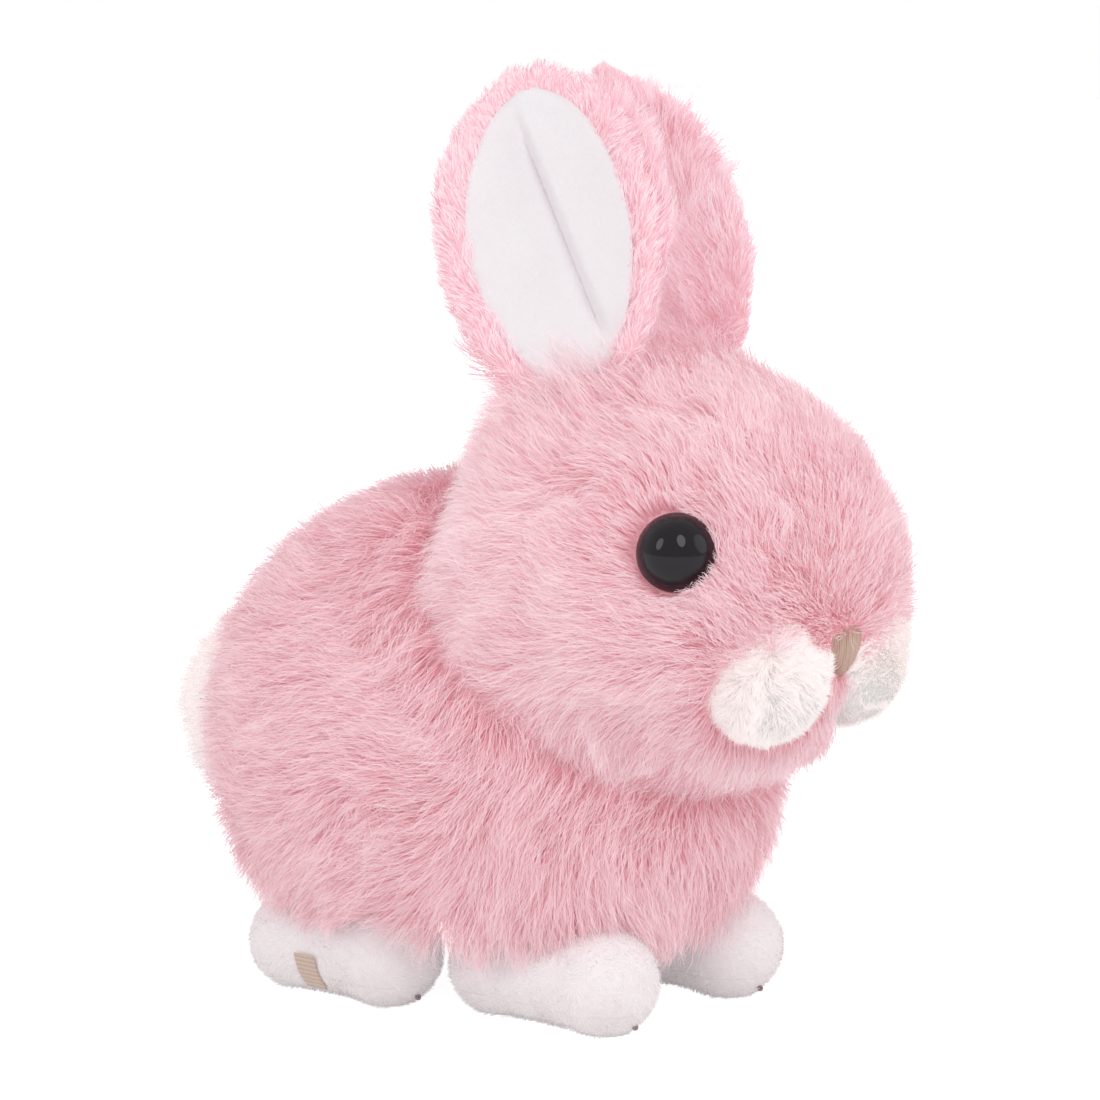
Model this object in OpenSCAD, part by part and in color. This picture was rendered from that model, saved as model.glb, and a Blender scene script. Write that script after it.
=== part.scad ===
// Sitting plush rabbit, made the way a soft toy is sewn: fur panels over fibre filling,
// stuffed velour paws, a weight bag in the belly, locking eyes and two hinged ears.
// Millimetres. +Z is up, the rabbit looks along -Y, and its own left side is +X.

/* [Body] */
// Width of the body over its fur
body_w = 96; // [80:1:116]
// Length of the body over its fur
body_l = 124; // [104:1:148]
// Height of the whole egg that the belly cuts off
body_h = 112; // [94:1:134]
// Height of the egg's centre above the belly fabric
body_rise = 27; // [22:1:32]

/* [Head] */
// Radius of the head over its fur
head_r = 41; // [35:0.5:48]
// How far the face reaches in front of the skull's centre
face_reach = 13.5; // [11:0.5:16]
// How far the skull's centre lies in front of the body's
head_ahead = 40.8; // [35:0.1:47]
// How far the skull's centre lies above the body's
head_above = 38.7; // [34:0.1:46]
// Width of the gusset over the crown
gusset_w = 26; // [20:1:32]

/* [Face] */
// Diameter of the glossy eye
eye_d = 15; // [12:0.5:18]
// How high the eye's dome stands
eye_h = 6; // [5:0.1:7.2]
// Diameter of the eye's stem
stem_d = 4.8; // [4:0.1:5.6]
// Diameter of the locking washer
washer_d = 13; // [11:0.5:16]
// Radius of each muzzle puff
puff_r = 14; // [12:0.1:16]
// Width of the stitched nose
nose_w = 11; // [9:0.5:13]
// Height of the stitched nose
nose_h = 11.4; // [9.5:0.1:13.5]

/* [Ears] */
// Length of an ear above its root seam
ear_len = 62; // [52:1:74]
// Width of an ear at its widest
ear_w = 43; // [36:1:52]
// Radius of the curl across an ear
ear_curl_r = 32; // [28:1:38]
// Thickness of the furred back of an ear
ear_t = 4.4; // [3.6:0.1:5.2]
// How far each ear leans back, in degrees
ear_lean = 19; // [12:1:24]
// How far each ear leans in towards the other, in degrees
ear_inward = 8; // [2:1:10]
// How far each ear's mouth turns forward, in degrees
ear_yaw = 30; // [20:1:36]
// Distance between the two root seams
ear_spread = 37.6; // [32:0.2:45]

/* [Paws and tail] */
// Height of the paws, which is also the belly's height
paw_h = 22; // [19:0.5:26]
// Radius of a paw's toe end
toe_r = 11.4; // [9.6:0.1:13.6]
// Radius of a paw's heel end
heel_r = 10.4; // [9:0.1:12]
// Distance from heel centre to toe centre of a front paw
front_paw_len = 27; // [22:1:32]
// Distance from heel centre to toe centre of a hind paw
hind_paw_len = 25; // [21:1:30]
// Distance between the front paws' centrelines
front_spread = 40; // [34:1:48]
// Distance between the hind paws' centrelines
hind_spread = 59; // [50:1:64]
// Radius of the tail puff
tail_r = 19; // [16:0.5:22.5]

/* [Fabric] */
// Thickness of the fur panels, pile and backing together
fur_t = 6; // [5:0.1:7.2]
// Thickness of the short-pile muzzle fabric
puff_t = 2.4; // [2:0.1:2.9]
// Thickness of the tail's fluffy fabric
tail_t = 4; // [3.3:0.1:4.8]
// Thickness of the velour and of the belly cloth
velour_t = 1.2; // [1:0.1:1.4]
// Gap between pieces that only lie against each other
gap = 0.3; // [0.25:0.01:0.36]

/* [Hidden] */
$fn = 96;
big = 400;

// Body egg
body_r = [body_w, body_l, body_h] / 2;
belly_top = paw_h + velour_t;
body_z = belly_top + body_rise;
tail_in = 4;
tail_y = body_l / 2 - tail_in;

// Head ball and the axis of the neck
bowl_r = head_r + gap;
neck_tilt = atan2(head_ahead, head_above);
neck_r = 16;
neck_len = 10;
front_cut = head_r * cos(85);

// The box's middle in Y is the origin: the face reaches as far forward as the tail reaches back
front_reach = head_ahead + face_reach + head_r;
rear_reach = tail_y + tail_r;
body_y = (front_reach - rear_reach) / 2;
skull = [0, body_y - head_ahead, body_z + head_above];
face = skull - [0, face_reach, 0];
chin_top = skull[2] - head_r / 2;

// Muzzle and nose, from the middle of the face ball
puff_x = puff_r - 1.6;
puff_out = head_r * 0.6;
puff_drop = head_r * 0.4;
nose_top = 3;
nose_t = 1.6;
nose_seat = 0.2;
nose_arc = (pow(nose_w / 2, 2) + pow(nose_h, 2)) / nose_w;
nose_back = face_reach + head_r - fur_t - 2;

// Eyes, along a ray from the middle of the face ball
eye_side = 61;
eye_up = 15.5;
flange_t = 0.8;
eye_seat = head_r - fur_t + velour_t;
washer_t = 1.6;
washer_top = head_r - fur_t - washer_d * washer_d / (8 * (head_r - fur_t)) - 0.2;
stem_len = eye_seat - washer_top + washer_t + 3;
stem_fit = 0.1;

// Ears: the root roll lies on the crown, and the leaf stands up from it
root_r = 2.4;
root_len = 24;
root_back = 4;
crown_r = head_r + gap + root_r;
root_side = asin(ear_spread / 2 / crown_r);
ear_root = skull + crown_r * [-sin(root_side), sin(root_back) * cos(root_side),
    cos(root_back) * cos(root_side)];
lining_t = 1.2;
lining_inset = 5.5;

// Paws, in the body's own places
seam_z = 5.5;
flat = 0.8;
waist_r = 9.3;
waist_z = 10.8;
leg_r = 7.5;
leg_in = 3;
front_heel_y = body_y - body_l * 0.15;
hind_heel_y = body_y + body_l * 0.22;
knot_r = 0.9;
ribbon_w = 6.5;
ribbon_t = 0.6;

// Weight bag, in the rear of the belly
bag_r = [24, 22, 9.5];
bag_y = body_y + 20;
bag_wall = 0.8;
bag_z = belly_top + 2 + bag_r[2];

module egg(r) scale(r) sphere(1);
module body_egg(inset) translate([0, body_y, body_z]) egg([for (x = body_r) x - inset]);
module above(z) translate([-big / 2, -big / 2, z]) cube(big);
module left_half() translate([0, -big / 2, -big / 2]) cube(big);
module right_half() mirror([1, 0, 0]) left_half();
module both_sides() {
    children();
    mirror([1, 0, 0]) children();
}

// The ball that the head turns in
module bowl() translate(skull) sphere(bowl_r);
module along_neck() translate(skull) rotate([180 + neck_tilt, 0, 0]) children();

module body_shell() {
    difference() {
        body_egg(0);
        body_egg(fur_t);
        translate([0, 0, belly_top - big]) above(0);
        bowl();
    }
}

module body_side_left() color("lightpink") intersection() {
    body_shell();
    left_half();
}

module body_side_right() color("lightpink") intersection() {
    body_shell();
    right_half();
}

module belly_panel() color("pink") intersection() {
    body_egg(0);
    translate([-big / 2, -big / 2, paw_h]) cube([big, big, velour_t]);
}

module neck_socket() along_neck() cylinder(r = neck_r + gap, h = bowl_r + neck_len + gap);

module body_stuffing() color("white") difference() {
    body_egg(fur_t + gap);
    translate([0, 0, belly_top - big]) above(0);
    bowl();
    neck_socket();
    bag(-gap);
}

module bag(inset) translate([0, bag_y, bag_z]) egg([for (x = bag_r) x - inset]);

module weight_bag() color("wheat") difference() {
    bag(0);
    bag(bag_wall);
}

module weight_pellets() color("gainsboro") bag(bag_wall + 0.15);

module tail_ball(inset) difference() {
    translate([0, body_y + tail_y, body_z]) sphere(tail_r - inset);
    body_egg(-gap);
}

module tail_cover() color("white") difference() {
    tail_ball(0);
    translate([0, body_y + tail_y, body_z]) sphere(tail_r - tail_t);
}

module tail_stuffing() color("white") tail_ball(tail_t + gap);

module neck_stuffing() color("white") difference() {
    along_neck() cylinder(r = neck_r, h = bowl_r + neck_len);
    bowl();
}

// A paw lies along Y with its toe towards -Y and its heel's centre on the origin
module paw_form(len, inset) {
    translate([0, -len, toe_r - flat]) sphere(toe_r - inset);
    translate([0, 0, heel_r - flat]) sphere(heel_r - inset);
    translate([0, 0, waist_z]) rotate([90, 0, 0]) cylinder(r = waist_r - inset, h = len);
    translate([-leg_in, -len * 0.4, waist_z]) cylinder(r = leg_r - inset, h = paw_h);
}

module slab(low, high) translate([-big / 2, -big / 2, low]) cube([big, big, high - low]);

module toe_knot_place(len) translate([0, -len, toe_r - flat]) rotate([-45, 0, 0])
    translate([0, 0, -toe_r + 0.3]) children();

module paw_shell(len, low, high) difference() {
    intersection() {
        paw_form(len, 0);
        slab(low, high);
    }
    intersection() {
        paw_form(len, velour_t);
        above(velour_t);
    }
    toe_knot_place(len) sphere(knot_r + 0.15);
}

module paw_cover(len) color("snow") paw_shell(len, seam_z, paw_h);
module paw_sole(len) color("snow") paw_shell(len, 0, seam_z);

module paw_stuffing(len) color("white") intersection() {
    paw_form(len, velour_t + 0.2);
    slab(velour_t, paw_h);
}

module front_paw_place() translate([front_spread / 2, front_heel_y, 0]) children();
module hind_paw_place() translate([hind_spread / 2, hind_heel_y, 0]) children();
module mirrored() mirror([1, 0, 0]) children();

module toe_knots() color("dimgray") both_sides() {
    front_paw_place() toe_knot_place(front_paw_len) sphere(knot_r);
    hind_paw_place() toe_knot_place(hind_paw_len) sphere(knot_r);
}

// A plain strip on the outer side of the right hind paw's waist
module foot_ribbon() color("tan") mirrored() hind_paw_place()
    translate([0, -(hind_paw_len - ribbon_w) / 2 + 1, waist_z]) rotate([90, 0, 0])
    rotate([0, 0, -70]) rotate_extrude(angle = 85)
    translate([waist_r + 0.05, 0]) square([ribbon_t, ribbon_w]);

// Head
// The skull's ball turns in the bowl; the face's ball keeps clear of the body
module head_form(inset) {
    translate(skull) sphere(head_r - inset);
    intersection() {
        translate(face) sphere(head_r - inset);
        along_neck() translate([-big / 2, -big / 2, front_cut - inset - big]) cube(big);
    }
}

module puff_place() translate(face + [puff_x, -puff_out, -puff_drop]) children();
module puffs(r) both_sides() puff_place() sphere(r);

// Three arcs: a shallow one along the top and two bulging sides that meet below
module nose_outline(grow) intersection() {
    translate([0, grow - nose_h]) circle(nose_h);
    intersection_for(s = [-1, 1]) translate([s * (nose_arc - nose_w / 2 - grow), 0])
        circle(nose_arc);
}

module nose_place(out) translate([0, skull[1] - nose_back - out, skull[2] - nose_top])
    rotate([90, 0, 0]) children();

module nose_pocket(behind) nose_place(-behind) linear_extrude(fur_t * 3) nose_outline(gap);

module eye_place() translate(face) rotate([90 - eye_up, 0, -eye_side]) children();

module eye_pocket() eye_place() {
    translate([0, 0, eye_seat]) cylinder(d = eye_d + 2 * gap, h = fur_t * 2);
    cylinder(d = stem_d + 2 * stem_fit, h = head_r);
}

module head_shell() {
    difference() {
        head_form(0);
        head_form(fur_t);
        puffs(puff_r + gap);
        nose_pocket(fur_t / 2);
        both_sides() eye_pocket();
    }
}

module chin_zone() translate([0, 0, chin_top - big]) above(0);
module gusset_zone() translate([-gusset_w / 2, -big / 2, chin_top]) cube([gusset_w, big, big]);
module side_zone() translate([gusset_w / 2, -big / 2, chin_top]) cube(big);

module head_side_left() color("lightpink") intersection() {
    head_shell();
    side_zone();
}

module head_side_right() color("lightpink") intersection() {
    head_shell();
    mirrored() side_zone();
}

module head_gusset() color("pink") intersection() {
    head_shell();
    gusset_zone();
}

module chin_panel() color("pink") intersection() {
    head_shell();
    chin_zone();
}

module head_stuffing() color("white") difference() {
    head_form(fur_t + gap);
    nose_pocket(nose_seat);
    both_sides() eye_place() {
        translate([0, 0, washer_top - washer_t - gap]) cylinder(d = washer_d + 2 * gap, h = head_r);
        translate([0, 0, eye_seat - stem_len - gap]) cylinder(d = stem_d + 2 * gap, h = head_r);
    }
}

module muzzle_cover() difference() {
    puff_place() sphere(puff_r);
    puff_place() sphere(puff_r - puff_t);
    right_half();
    head_form(fur_t);
    nose_pocket(nose_seat);
    translate([-big / 2, face[1] - puff_out + puff_r / 2, 0]) cube(big);
}

module muzzle_left() color("white") muzzle_cover();
module muzzle_right() color("white") mirrored() muzzle_cover();

module muzzle_stuffing() color("white") difference() {
    puff_place() sphere(puff_r - puff_t - gap);
    head_form(fur_t);
    nose_pocket(nose_seat);
}

module nose_stitching() color("rosybrown") nose_place(0) linear_extrude(nose_t) nose_outline(0);

module eye() color("black") eye_place() {
    dome_r = (pow(eye_d / 2, 2) + pow(eye_h, 2)) / (2 * eye_h);
    translate([0, 0, eye_seat]) cylinder(d = eye_d, h = flange_t + 0.2);
    intersection() {
        translate([0, 0, eye_seat + flange_t + eye_h - dome_r]) sphere(dome_r);
        translate([0, 0, eye_seat + flange_t]) cylinder(d = eye_d, h = eye_h);
    }
    translate([0, 0, eye_seat - stem_len]) cylinder(d = stem_d, h = stem_len + flange_t);
}

module eye_washer() color("gray") eye_place() translate([0, 0, washer_top - washer_t]) difference() {
    cylinder(d = washer_d, h = washer_t);
    translate([0, 0, -1]) cylinder(d = stem_d + 2 * stem_fit, h = washer_t + 2);
}

// Each ear's own frame has X along the root seam to the rear and +Y out of the ear's mouth
module ear_root_place() translate(ear_root) rotate([-root_back, 0, 0])
    rotate([0, -root_side, 0]) rotate([0, 0, 90 + ear_yaw]) children();

module ear_leaf_place() translate(ear_root) rotate([-ear_lean, 0, 0])
    rotate([0, ear_inward, 0]) rotate([0, 0, 90 + ear_yaw]) children();

module ear_leaf(inset) {
    cut = 10;
    half_w = ear_w / 2 - inset;
    half_len = (ear_len + cut) / 2 - inset;
    arc_r = (pow(half_len, 2) + pow(half_w, 2)) / (2 * half_w);
    translate([0, big / 2, (ear_len - cut) / 2]) rotate([90, 0, 0]) linear_extrude(big)
        intersection_for(s = [-1, 1]) translate([s * (arc_r - half_w), 0]) circle(arc_r);
}

module ear_sheet(inset, outer, t) intersection() {
    ear_leaf(inset);
    translate([0, ear_curl_r, -big / 2]) difference() {
        cylinder(r = outer, h = big);
        translate([0, 0, -1]) cylinder(r = outer - t, h = big + 2);
    }
    translate([-big / 2, -big / 2, root_r / 2 + inset]) cube([big, big / 2 + ear_curl_r, big]);
}

module ear_back() color("lightpink") {
    ear_leaf_place() ear_sheet(0, ear_curl_r + root_r / 2, ear_t);
    ear_root_place() translate([-root_len / 2, 0, 0]) rotate([0, 90, 0])
        cylinder(r = root_r, h = root_len);
}

module ear_lining() color("white") ear_leaf_place()
    ear_sheet(lining_inset, ear_curl_r + root_r / 2 - ear_t - 0.2, lining_t);

body_side_left();
body_side_right();
belly_panel();
body_stuffing();
weight_bag();
weight_pellets();
tail_cover();
tail_stuffing();
front_paw_place() paw_cover(front_paw_len);  // front_paw_left_cover
front_paw_place() paw_sole(front_paw_len);  // front_paw_left_sole
front_paw_place() paw_stuffing(front_paw_len);  // front_paw_left_stuffing
mirrored() front_paw_place() paw_cover(front_paw_len);  // front_paw_right_cover
mirrored() front_paw_place() paw_sole(front_paw_len);  // front_paw_right_sole
mirrored() front_paw_place() paw_stuffing(front_paw_len);  // front_paw_right_stuffing
hind_paw_place() paw_cover(hind_paw_len);  // hind_paw_left_cover
hind_paw_place() paw_sole(hind_paw_len);  // hind_paw_left_sole
hind_paw_place() paw_stuffing(hind_paw_len);  // hind_paw_left_stuffing
mirrored() hind_paw_place() paw_cover(hind_paw_len);  // hind_paw_right_cover
mirrored() hind_paw_place() paw_sole(hind_paw_len);  // hind_paw_right_sole
mirrored() hind_paw_place() paw_stuffing(hind_paw_len);  // hind_paw_right_stuffing
toe_knots();
foot_ribbon();
neck_stuffing();
head_side_left();
head_side_right();
head_gusset();
chin_panel();
head_stuffing();
muzzle_left();
muzzle_right();
muzzle_stuffing();  // muzzle_stuffing_left
mirrored() muzzle_stuffing();  // muzzle_stuffing_right
nose_stitching();
mirrored() eye();  // eye_left
eye();  // eye_right
mirrored() eye_washer();  // eye_washer_left
eye_washer();  // eye_washer_right
mirrored() ear_back();  // ear_back_left
mirrored() ear_lining();  // ear_lining_left
ear_back();  // ear_back_right
ear_lining();  // ear_lining_right
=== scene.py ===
"""The looks of a stuffed bunny rabbit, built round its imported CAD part.

Every long-pile panel is a thin backing with its own pile planted on it, combed the way the cloth is cut.
"""
import math

import bpy
import numpy as np
from mathutils import Euler, Matrix, Vector, kdtree


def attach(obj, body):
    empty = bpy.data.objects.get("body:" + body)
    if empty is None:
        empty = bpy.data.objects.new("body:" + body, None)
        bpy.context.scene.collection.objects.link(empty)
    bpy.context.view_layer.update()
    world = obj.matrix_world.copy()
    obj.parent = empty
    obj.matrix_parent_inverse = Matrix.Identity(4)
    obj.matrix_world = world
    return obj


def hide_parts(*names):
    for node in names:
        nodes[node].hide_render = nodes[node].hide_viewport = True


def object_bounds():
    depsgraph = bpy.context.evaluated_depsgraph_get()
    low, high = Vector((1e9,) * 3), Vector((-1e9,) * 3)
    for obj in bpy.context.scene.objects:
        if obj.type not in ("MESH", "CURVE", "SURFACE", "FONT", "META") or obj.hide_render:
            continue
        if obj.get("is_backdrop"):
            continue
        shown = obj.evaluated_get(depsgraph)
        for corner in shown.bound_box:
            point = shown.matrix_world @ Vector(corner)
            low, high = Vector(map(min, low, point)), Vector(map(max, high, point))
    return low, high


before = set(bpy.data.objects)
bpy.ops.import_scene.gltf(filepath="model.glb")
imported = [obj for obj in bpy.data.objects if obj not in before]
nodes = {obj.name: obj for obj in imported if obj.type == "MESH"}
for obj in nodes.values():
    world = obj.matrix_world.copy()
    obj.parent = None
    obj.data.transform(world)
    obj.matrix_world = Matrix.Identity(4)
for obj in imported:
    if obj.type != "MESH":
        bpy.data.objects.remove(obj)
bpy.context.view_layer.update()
bpy.ops.object.select_all(action="DESELECT")

MM = 0.001


# ---------------------------------------------------------------- measures, the CAD's own, in metres
SKULL = np.array([0.0, -0.03165, 0.0889])
FACE = np.array([0.0, -0.04515, 0.0889])
BODY = np.array([0.0, 0.00915, 0.0502])
TAIL = np.array([0.0, 0.06715, 0.0502])
BODY_R = np.array([0.048, 0.062, 0.056])
HEAD_R = 0.041
BELLY_TOP = 0.0232
GUSSET_HALF = 0.013
CHIN_TOP = 0.0684
PUFF = np.array([0.0124, -0.06975, 0.0725])
EAR_ROOT = Vector((-0.0188, -0.028898, 0.128253))
EAR_TURN = (Euler((math.radians(-19), 0, 0)).to_matrix() @ Euler((0, math.radians(8), 0)).to_matrix()
            @ Euler((0, 0, math.radians(120))).to_matrix())
EYE_RAY = np.array([-math.sin(math.radians(61)) * math.cos(math.radians(15.5)),
                    -math.cos(math.radians(61)) * math.cos(math.radians(15.5)),
                    math.sin(math.radians(15.5))])
BACKING = 5.5 * MM


# ---------------------------------------------------------------- shader maths
class Wire:
    """A socket that maths can be written on."""

    def __init__(self, finish, socket):
        self.finish = finish
        self.socket = socket

    def math(self, operation, first, second=0.0, clamp=False):
        return self.finish.node("ShaderNodeMath", {"operation": operation, "use_clamp": clamp},
                                {0: first, 1: second})

    def __add__(self, other):
        return self.math("ADD", self, other)

    def __sub__(self, other):
        return self.math("SUBTRACT", self, other)

    def __mul__(self, other):
        return self.math("MULTIPLY", self, other)

    def __truediv__(self, other):
        return self.math("DIVIDE", self, other)

    def __radd__(self, other):
        return self.math("ADD", other, self)

    def __rsub__(self, other):
        return self.math("SUBTRACT", other, self)

    def __rmul__(self, other):
        return self.math("MULTIPLY", other, self)

    def clamp(self):
        return self.math("ADD", self, 0.0, clamp=True)


def colour(red, green, blue):
    """A colour given as it looks on a screen, 0 to 255, as the linear values that a shader takes."""
    parts = []
    for part in (red, green, blue):
        part = part / 255
        parts.append(part / 12.92 if part <= 0.04045 else ((part + 0.055) / 1.055) ** 2.4)
    return (*parts, 1.0)


class Finish:
    """One material, with its shader and the nodes that feed it."""

    def __init__(self, name, **constants):
        self.material = bpy.data.materials.new(name)
        self.material.use_nodes = True
        self.tree = self.material.node_tree
        self.shader = self.tree.nodes["Principled BSDF"]
        for socket, value in constants.items():
            self.shader.inputs[socket.replace("_", " ")].default_value = value

    def node(self, kind, settings=None, sockets=None, output=0):
        made = self.tree.nodes.new(kind)
        for key, value in (settings or {}).items():
            if key == "stops":
                ramp = made.color_ramp
                while len(ramp.elements) < len(value):
                    ramp.elements.new(0.5)
                for element, (place, shade) in zip(ramp.elements, value):
                    element.position = place
                    element.color = shade
            else:
                setattr(made, key, value)
        for key, value in (sockets or {}).items():
            if isinstance(value, Wire):
                self.tree.links.new(value.socket, made.inputs[key])
            else:
                made.inputs[key].default_value = value
        return Wire(self, made.outputs[output])

    def feed(self, socket, wire):
        self.tree.links.new(wire.socket, self.shader.inputs[socket])

    def place(self):
        return self.node("ShaderNodeTexCoord", output="Object")

    def noise(self, scale, detail=2.0, rough=0.5, vector=None):
        return self.node("ShaderNodeTexNoise", {}, {"Vector": vector or self.place(), "Scale": scale,
                                                    "Detail": detail, "Roughness": rough})

    def blend(self, factor, first, second):
        return self.node("ShaderNodeMix", {"data_type": "RGBA"}, {0: factor, 6: first, 7: second}, output=2)

    def bump(self, height, strength, distance):
        self.feed("Normal", self.node("ShaderNodeBump", {}, {"Strength": strength, "Distance": distance,
                                                             "Height": height}))


def pile_finish(name, root, middle, tip, light, scatter_glow):
    """Pile: each strand's own map runs from root to tip one way, and from dark to light strands the other.

    The pile glows with its own colour, at the strength of the last argument. This is painted light: it stands in for
    the light passing through the fine fibres from one to the next, and it lifts the shade between strands."""
    made = Finish(name, Roughness=0.85, Sheen_Weight=0.0, Specular_IOR_Level=0.12)
    spot = made.node("ShaderNodeUVMap", {"uv_map": "OFBake"})
    across = made.node("ShaderNodeSeparateXYZ", {}, {0: spot}, output=0)
    along = made.node("ShaderNodeSeparateXYZ", {}, {0: spot}, output=1)
    # Each strand darkens from its pale tip to its root. This is partly the pile's paler tips and partly painted shade
    # down in the gaps between the strands.
    strand = made.node("ShaderNodeValToRGB", {"stops": [(0.05, root), (0.50, middle), (0.93, tip)]}, {0: along})
    shade = made.blend((across * 0.5).clamp(), strand, light)
    made.feed("Base Color", shade)
    # Painted light: the pile glows with its own colour, which lifts the shade between strands (most of all on the
    # white pile).
    made.feed("Emission Color", shade)
    made.shader.inputs["Emission Strength"].default_value = scatter_glow
    return made.material


# The body, head and ears wear one pink pile in three copies. The body's copy is painted darker, as painted shade for
# the body lying under the head. The ears' copy is painted paler and glows more, as painted light against the shade
# between the ears.
body_pile_painted_darker = pile_finish("body pile painted darker", colour(224, 148, 159), colour(238, 181, 191), colour(252, 230, 234),
                        colour(250, 222, 228), 0.13)
head_pile = pile_finish("head pile", colour(230, 160, 171), colour(243, 192, 201), colour(253, 236, 240),
                        colour(252, 230, 234), 0.13)
ear_pile_painted_paler = pile_finish("ear pile painted paler", colour(238, 188, 198), colour(247, 212, 220), colour(253, 242, 246),
                       colour(253, 238, 242), 0.16)
white_pile = pile_finish("white pile", colour(236, 226, 226), colour(240, 232, 231), colour(244, 238, 237),
                         colour(246, 240, 239), 0.24)


def nap_finish(name, low, high, fine):
    """Short velour: areas painted lighter and darker where the nap would lie this way and that and catch the light (a
    painted sheen), and the pile's own fine grain.
    """
    made = Finish(name, Roughness=0.92, Specular_IOR_Level=0.15, Sheen_Weight=0.15, Sheen_Roughness=0.6)
    nap_sheen = made.noise(90, 4.0, 0.6)
    grain = made.noise(fine, 2.0, 0.6)
    # Painted sheen: the nap's lighter and darker areas go into the colour, together with the grain.
    made.feed("Base Color", made.blend((nap_sheen * 0.7 + grain * 0.5 - 0.1).clamp(), low, high))
    made.bump(grain, 0.35, 0.0004)
    return made.material


white_velour = nap_finish("white velour", colour(240, 231, 233), colour(250, 245, 246), 1500)
ear_velour = nap_finish("ear velour", colour(239, 233, 236), colour(248, 244, 246), 1700)


def filling_finish():
    """Loose polyester wadding."""
    made = Finish("fibre filling", Roughness=0.95, Specular_IOR_Level=0.1)
    wool = made.noise(160, 6.0, 0.7)
    made.feed("Base Color", made.blend(wool, colour(226, 224, 222), colour(248, 247, 245)))
    made.bump(wool, 0.8, 0.002)
    return made.material


def bag_finish():
    """Plain woven cotton."""
    made = Finish("bag cotton", Roughness=0.9, Specular_IOR_Level=0.15)
    spot = made.place()
    warp = made.node("ShaderNodeTexWave", {"bands_direction": "X"}, {"Vector": spot, "Scale": 220.0})
    weft = made.node("ShaderNodeTexWave", {"bands_direction": "Y"}, {"Vector": spot, "Scale": 220.0})
    weave = warp * weft
    made.feed("Base Color", made.blend(weave, colour(214, 204, 186), colour(236, 228, 212)))
    made.bump(weave, 0.5, 0.0003)
    return made.material


def pellet_finish():
    """A bed of small round plastic pellets."""
    made = Finish("pellets", Roughness=0.4)
    gap_shade_and_depth = made.node("ShaderNodeTexVoronoi", {}, {"Vector": made.place(), "Scale": 380.0})
    # Painted shade: each pellet goes from pale in its middle to grey towards the gaps between pellets. The same
    # distance also gives the bump.
    made.feed("Base Color", made.blend((gap_shade_and_depth * 1.4).clamp(), colour(238, 238, 234), colour(170, 170, 166)))
    made.bump(1 - gap_shade_and_depth, 0.9, 0.001)
    return made.material


def washer_finish():
    """Moulded nylon."""
    made = Finish("washer nylon", Roughness=0.5)
    swirl = made.noise(240, 3.0)
    made.feed("Base Color", made.blend(swirl, colour(196, 194, 190), colour(222, 220, 216)))
    made.bump(swirl, 0.1, 0.0003)
    return made.material


def eye_finish(side):
    """Glossy dark plastic with a plum ring round its edge."""
    made = Finish("eye plastic " + side, Roughness=0.07, IOR=1.45, Specular_IOR_Level=0.32)
    sign = 1 if side == "left" else -1
    ray = Vector((abs(EYE_RAY[0]) * sign, EYE_RAY[1], EYE_RAY[2]))
    spot = made.node("ShaderNodeVectorMath", {"operation": "SUBTRACT"}, {0: made.place(), 1: Vector(FACE)})
    height = made.node("ShaderNodeVectorMath", {"operation": "DOT_PRODUCT"}, {0: spot, 1: ray}, output="Value")
    rim = ((0.0393 - height) / 0.0016).clamp()
    cloud = made.noise(700, 2.0)
    dark = made.blend(cloud, colour(14, 9, 15), colour(21, 14, 22))
    made.feed("Base Color", made.blend(rim, dark, colour(46, 24, 34)))
    made.feed("Roughness", 0.05 + rim * 0.25)
    return made.material


def thread_finish(name, low, high):
    """Stranded embroidery cotton with a soft shine."""
    made = Finish(name, Roughness=0.55, Specular_IOR_Level=0.4)
    twist = made.noise(1800, 2.0)
    shade = made.noise(260, 2.0)
    made.feed("Base Color", made.blend((shade * 0.6 + twist * 0.4).clamp(), low, high))
    made.bump(twist, 0.4, 0.0002)
    return made.material


def ribbon_finish():
    """A narrow satin strip."""
    made = Finish("satin strip", Roughness=0.5, Specular_IOR_Level=0.4)
    rib = made.node("ShaderNodeTexWave", {"bands_direction": "Z"}, {"Vector": made.place(), "Scale": 330.0,
                                                                    "Distortion": 0.6})
    made.feed("Base Color", made.blend(rib, colour(198, 174, 158), colour(216, 196, 182)))
    made.bump(rib, 0.25, 0.0002)
    return made.material


nose_thread = thread_finish("nose thread", colour(186, 154, 138), colour(222, 194, 178))
knot_thread = thread_finish("knot thread", colour(134, 116, 120), colour(172, 154, 156))
satin = ribbon_finish()


# ---------------------------------------------------------------- making pieces
def take(piece):
    bpy.ops.object.select_all(action="DESELECT")
    piece.select_set(True)
    bpy.context.view_layer.objects.active = piece


def settle(piece, name):
    """The piece's place goes into its mesh."""
    take(piece)
    piece.name = name
    piece.data.name = name
    bpy.ops.object.transform_apply(location=True, rotation=True, scale=True)
    return piece


def ball(name, centre, radii, segments=64, rings=40):
    bpy.ops.object.select_all(action="DESELECT")
    bpy.ops.mesh.primitive_uv_sphere_add(segments=segments, ring_count=rings, radius=1, location=centre,
                                         scale=radii)
    made = settle(bpy.context.active_object, name)
    bpy.ops.object.shade_smooth()
    return made


def rod(name, centre, radius, depth, rotation=(0, 0, 0), sides=48):
    bpy.ops.object.select_all(action="DESELECT")
    bpy.ops.mesh.primitive_cylinder_add(vertices=sides, radius=radius, depth=depth, location=centre,
                                        rotation=rotation)
    return settle(bpy.context.active_object, name)


def modify(piece, kind, **settings):
    take(piece)
    made = piece.modifiers.new(kind, kind)
    for key, value in settings.items():
        setattr(made, key, value)
    bpy.ops.object.modifier_apply(modifier=made.name)


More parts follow.
